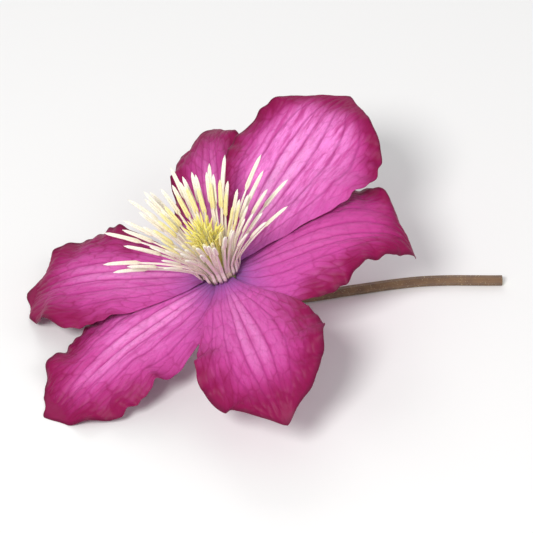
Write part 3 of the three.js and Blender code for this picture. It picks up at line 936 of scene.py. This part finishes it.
STYLE_STEPS = 15
STYLE_CURL = 0.9
STYLE_SWAY = 0.25
HAIRS = 34  # on each style
HAIRS_FROM, HAIRS_OVER = 0.06, 0.8  # shares of its length: their start and their stretch
HAIR_TURN = 2.4  # from one to the next round the style, in radians
HAIR_ROOT = 0.15  # their distance from its line
HAIR_LENGTH = 1.5
HAIR_THICKNESS = 0.028
HAIR_HELPER = (0.31, 0.77, 0.55)

DOME_OUTLINE = [
    (0, TUFT_BOTTOM),
    (TUFT_RADIUS, TUFT_BOTTOM),
    (TUFT_RADIUS, TUFT_BOTTOM + 0.8),
    (TUFT_RADIUS * 0.85, TUFT_BOTTOM + 1.5),
    (TUFT_RADIUS * 0.5, TUFT_BOTTOM + 2.1),
    (0, TUFT_BOTTOM + 2.3),
]


def add_style(shell, i):
    share = math.sqrt((i + 0.5) / STYLES)
    outward, sideways = compass(i * GOLDEN_ANGLE)
    length = lerp(*STYLE_LENGTH, 0.5 + 0.5 * draw(i, 4)) * (1 - 0.15 * share)
    root = STYLE_ROOT_RADIUS * share * outward + (TUFT_BOTTOM + 1) * UP
    direction = leaning(outward, math.radians(STYLE_LEAN * share))
    away = np.cross(sideways, direction)
    t = np.linspace(0, 1, STYLE_STEPS)
    curl = STYLE_CURL * ease(t, 0.75, 1) ** 2
    points = root + direction * (t * length - 0.5 * curl)[:, None] + away * curl[:, None]
    points = points + sideways * (STYLE_SWAY * draw(i, 6) * np.sin(np.pi * t))[:, None]
    widths = np.interp(t, [0, 0.2, 0.8, 0.93, 1], [0.42, 0.3, 0.22, 0.17, 0.04])
    add_tube(shell, 0, points, sideways, widths, widths, 6)
    for k in range(HAIRS):
        at = HAIRS_FROM + HAIRS_OVER * (k + 0.5) / HAIRS
        around = k * HAIR_TURN + i
        spread = math.cos(around) * sideways + math.sin(around) * away
        start = root + direction * at * length + spread * HAIR_ROOT
        heading = unit(0.8 * direction + 0.6 * spread)
        hair_length = HAIR_LENGTH + 0.5 * draw(k + 40 * i, 7)
        vertices = hair(start, heading, hair_length, HAIR_THICKNESS, HAIR_HELPER)
        shell.add(posed(vertices), HAIR_FACES, 1, lane_of([0, 0, 0, 1]))


def build_styles():
    shell = Shell()
    add_lathe(shell, 0, DOME_OUTLINE, 24)
    for half_step in range(2 * STYLES):
        add_style(shell, half_step / 2)
    shell.build("style_tuft", [style_look, silk_look], "styles")


build_styles()


# ---------------------------------------------------------------- stalk

# The stalk's line: two points in the flower's frame, and then points in the part's frame as
# (to the right of the flower, behind it, height).
STALK_TOP = np.array([(0, 0, -4.5), (0, 0, -7.5)])
STALK_PATH = np.array([
    (6, 1.8, 4.3),
    (13, 3.8, 2.0),
    (21, 6, STALK_LYING + 0.1),
    (30, 8.2, STALK_LYING),
    (46, 11.2, STALK_LYING),
    (64, 11.5, STALK_LYING),
])
STALK_STATIONS = 260
STALK_SIDES = 72

# the swollen top, from the seat under the sepals down to the neck: height and radius
SWOLLEN_TOP = np.array([
    (SEAT_TOP, BOSS_RADIUS),
    (SEAT_TOP - 0.05, 3.9),
    (SEAT_TOP - 0.25, 4.2),
    (SEAT_TOP - 0.5, 4.25),
    (-2.0, 3.75),
    (-2.6, 2.95),
    (-3.3, 2.25),
    (-4.0, 1.85),
])

# the boss and the spigot inside the ring of sepals
BOSS_OUTLINE = [
    (0, SEAT_TOP - 0.2),
    (BOSS_RADIUS, SEAT_TOP - 0.2),
    (BOSS_RADIUS, BOSS_TOP - 0.15),
    (BOSS_RADIUS - 0.2, BOSS_TOP),
    (SPIGOT_RADIUS, BOSS_TOP + 0.05),
    (SPIGOT_RADIUS, SPIGOT_TOP - 0.1),
    (SPIGOT_RADIUS - 0.1, SPIGOT_TOP),
    (0, SPIGOT_TOP),
]

# the cut end, from the rind through the wood to the pith, slightly hollowed: share of the
# radius, how far it stands out, and the value of lane
CUT_LEVELS = [
    (1.0, 0.0, 0.0),
    (0.9, 0.04, 0.2),
    (0.62, 0.02, 0.5),
    (0.4, -0.08, 0.8),
    (0.12, -0.1, 1.0),
]
CUT_MIDDLE = (-0.1, 1.0)  # the last two of these for its middle

RIBS, RIB = 6, 0.075  # number of ribs, and their height as a share of the radius
FINE_RIBS, FINE_RIB = 18, 0.02
RIBBED_IN = 0.05  # share by which the ribbed skin lies under the part's own

DOWN_SEED = 11
DOWN_HAIRS = 900
DOWN_LENGTH = (0.8, 0.35)  # near the flower and at the cut end
DOWN_THICKNESS = 0.022
DOWN_HELPER = (0.3, 0.7, 0.6)
DOWN_CLEARANCE = 0.02  # hairs closer to the table are left out


def curve_point(points, t):
    """The point at share t of the smooth centripetal curve that the part's own stalk follows."""
    last = len(points) - 1
    place = min(t, 1) * last
    k = min(int(place), last - 1)
    weight = place - k
    p1, p2 = points[k], points[k + 1]
    p0 = points[k - 1] if k else 2 * points[0] - points[1]
    p3 = points[k + 2] if k + 2 <= last else 2 * points[-1] - points[-2]
    d0, d1, d2 = (np.sum((b - a) ** 2) ** 0.25 for a, b in ((p0, p1), (p1, p2), (p2, p3)))
    m1 = ((p1 - p0) / d0 - (p2 - p0) / (d0 + d1) + (p2 - p1) / d1) * d1
    m2 = ((p2 - p1) / d1 - (p3 - p1) / (d1 + d2) + (p3 - p2) / d2) * d1
    c2 = -3 * p1 + 3 * p2 - 2 * m1 - m2
    c3 = 2 * p1 - 2 * p2 + m1 + m2
    return p1 + m1 * weight + c2 * weight**2 + c3 * weight**3


def stalk_line():
    """Points of the axis from the seat to the cut end, with each one's share of the stalk's
    length, radius and strength of the ribs."""
    points = np.concatenate([posed(STALK_TOP), STALK_PATH + (FLOWER[0], FLOWER[1], 0)])
    dense = np.array([curve_point(points, t) for t in np.linspace(0, 1, 1200)])
    distance = np.concatenate([[0], np.cumsum(np.linalg.norm(np.diff(dense, axis=0), axis=1))])
    stations = np.linspace(0, distance[-1], STALK_STATIONS)
    line = np.stack([np.interp(stations, distance, dense[:, k]) for k in range(3)], -1)
    share = stations / distance[-1]
    radius = lerp(STALK_NECK_RADIUS, STALK_RADIUS, ease(share, 0, 0.25))
    radius = np.maximum(radius, np.interp(stations, [0, 1.2, 2.6], [1.7, 1.5, 1.0]))
    height, top_radius = SWOLLEN_TOP.T
    line = np.concatenate([posed(height[:, None] * UP), line])
    radius = np.concatenate([top_radius, radius])
    share = np.concatenate([0 * height, share])
    ribbing = np.concatenate([np.linspace(0, 0.3, len(height)), np.ones(STALK_STATIONS)])
    return line, share, radius, ribbing


def carried(line, side):
    """Width and depth directions along a line, carried from side without a twist."""
    along = unit(np.gradient(line, axis=0))
    sides = []
    for direction in along:
        side = unit(side - np.dot(side, direction) * direction)
        sides.append(side)
    return np.array(sides), np.cross(along, sides)


def stalk_rings(line, sides, overs, radius, ribbing):
    """The ribbed skin, ring by ring, flat where it lies on the table."""
    angle = 2 * np.pi * np.arange(STALK_SIDES) / STALK_SIDES
    ribs = RIB * np.cos(RIBS * angle) + FINE_RIB * np.cos(FINE_RIBS * angle) - RIBBED_IN
    ribbed = radius[:, None] * (1 + ribs * ribbing[:, None])
    rings = sections(line, sides, overs, ribbed, ribbed, angle)
    rings[..., 2] = np.maximum(rings[..., 2], 0)
    return rings


def add_cut_end(shell, rim, outward):
    centre = rim.mean(0)
    rings = [centre + (rim - centre) * share + outward * push for share, push, _ in CUT_LEVELS]
    vertices = np.concatenate([*rings, [centre + outward * CUT_MIDDLE[0]]])
    faces = grid_faces(len(CUT_LEVELS), STALK_SIDES, wrap=True)
    middle = len(vertices) - 1
    inmost = middle - STALK_SIDES
    for k in range(STALK_SIDES):
        faces.append((inmost + k, inmost + (k + 1) % STALK_SIDES, middle))
    values = np.repeat([value for _, _, value in CUT_LEVELS], STALK_SIDES)
    shell.add(vertices, faces, 1, lane_of([*values, CUT_MIDDLE[1]]))


def add_down(shell, line, sides, overs, radius):
    """Fine hairs on the stalk, longest near the flower."""
    rng = np.random.default_rng(DOWN_SEED)
    for _ in range(DOWN_HAIRS):
        k = int(rng.integers(0, len(line) - 1))
        angle = rng.uniform(0, 2 * np.pi)
        out = math.cos(angle) * sides[k] + math.sin(angle) * overs[k]
        root = line[k] + out * radius[k] * 0.95
        length = lerp(*DOWN_LENGTH, k / len(line)) * rng.uniform(0.6, 1.2)
        heading = unit(out + 0.5 * unit(line[k + 1] - line[k]) * rng.uniform(-0.4, 1.4))
        vertices = hair(root, heading, length, DOWN_THICKNESS, DOWN_HELPER)
        if min(root[2], vertices[-1, 2]) >= DOWN_CLEARANCE:
            shell.add(vertices, HAIR_FACES, 2)


def build_stalk():
    line, share, radius, ribbing = stalk_line()
    sides, overs = carried(line, TURN[:, 0])
    rings = stalk_rings(line, sides, overs, radius, ribbing)
    faces = grid_faces(len(line), STALK_SIDES, wrap=True)
    faces.append(tuple(range(STALK_SIDES))[::-1])
    shell = Shell()
    shell.add(rings.reshape(-1, 3), faces, 0, lane_of(np.repeat(share, STALK_SIDES)))
    add_cut_end(shell, rings[-1], unit(line[-1] - line[-2]))
    add_lathe(shell, 0, BOSS_OUTLINE, 48)
    add_down(shell, line, sides, overs, radius)
    shell.build("stalk_skin", [stalk_look, pith_look, silk_look], "stalk")


build_stalk()


# ---------------------------------------------------------------- table, light and camera

FLOOR_HALF_SIZE = 6.0
FLOOR_COLOUR = (0.86, 0.86, 0.86, 1)
FLOOR_DROP = 0.00002  # so that no face that lies on it coincides with it
WORLD_STRENGTH = 0.45

# the camera: how far it looks down, what at, and the width of the picture there
ELEVATION = math.radians(41)
TARGET = Vector((0.0, 0.0006, 0.0142))
FRAME_WIDTH = 0.119
LENS = 200
SENSOR_WIDTH = 36


def add_floor():
    reach = FLOOR_HALF_SIZE
    corners = [(-reach, -reach, 0), (reach, -reach, 0), (reach, reach, 0), (-reach, reach, 0)]
    mesh = bpy.data.meshes.new("floor")
    mesh.from_pydata(corners, [], [(0, 1, 2, 3)])
    look = Look("floor", Roughness=0.9, Base_Color=FLOOR_COLOUR, Specular_IOR_Level=0.1)
    mesh.materials.append(look.material)
    plane = bpy.data.objects.new("floor", mesh)
    plane.location.z = -FLOOR_DROP
    bpy.context.scene.collection.objects.link(plane)


def look_at(thing, target):
    """Turn a light or the camera towards the target."""
    thing.rotation_euler = (Vector(target) - thing.location).to_track_quat("-Z", "Y").to_euler()


def area_light(name, place, target, size, power, colour=(1, 1, 1)):
    data = bpy.data.lights.new(name, "AREA")
    data.shape = "DISK"
    data.size = size
    data.energy = power
    data.color = colour
    light = bpy.data.objects.new(name, data)
    light.location = place
    look_at(light, target)
    bpy.context.scene.collection.objects.link(light)


def add_world():
    world = bpy.data.worlds.new("studio")
    world.use_nodes = True
    background = world.node_tree.nodes["Background"]
    background.inputs["Color"].default_value = (1, 1, 1, 1)
    background.inputs["Strength"].default_value = WORLD_STRENGTH
    bpy.context.scene.world = world
    bpy.context.scene.view_settings.view_transform = "Standard"


def add_camera():
    data = bpy.data.cameras.new("camera")
    data.lens = LENS
    data.sensor_width = SENSOR_WIDTH
    data.clip_start = 0.05
    camera = bpy.data.objects.new("camera", data)
    distance = FRAME_WIDTH * LENS / SENSOR_WIDTH
    camera.location = TARGET + distance * Vector((0, -math.cos(ELEVATION), math.sin(ELEVATION)))
    look_at(camera, TARGET)
    bpy.context.scene.collection.objects.link(camera)
    bpy.context.scene.camera = camera


add_floor()
area_light("key", (-0.25, -0.5, 0.6), (-0.01, 0, 0.01), 0.26, 4.8, (1.0, 0.985, 0.97))
area_light("fill", (0.65, -0.2, 0.5), (0, 0, 0.01), 0.6, 1.3)
area_light("back", (-0.1, 0.7, 0.55), (0, 0, 0.01), 0.5, 1.4)
add_world()
add_camera()
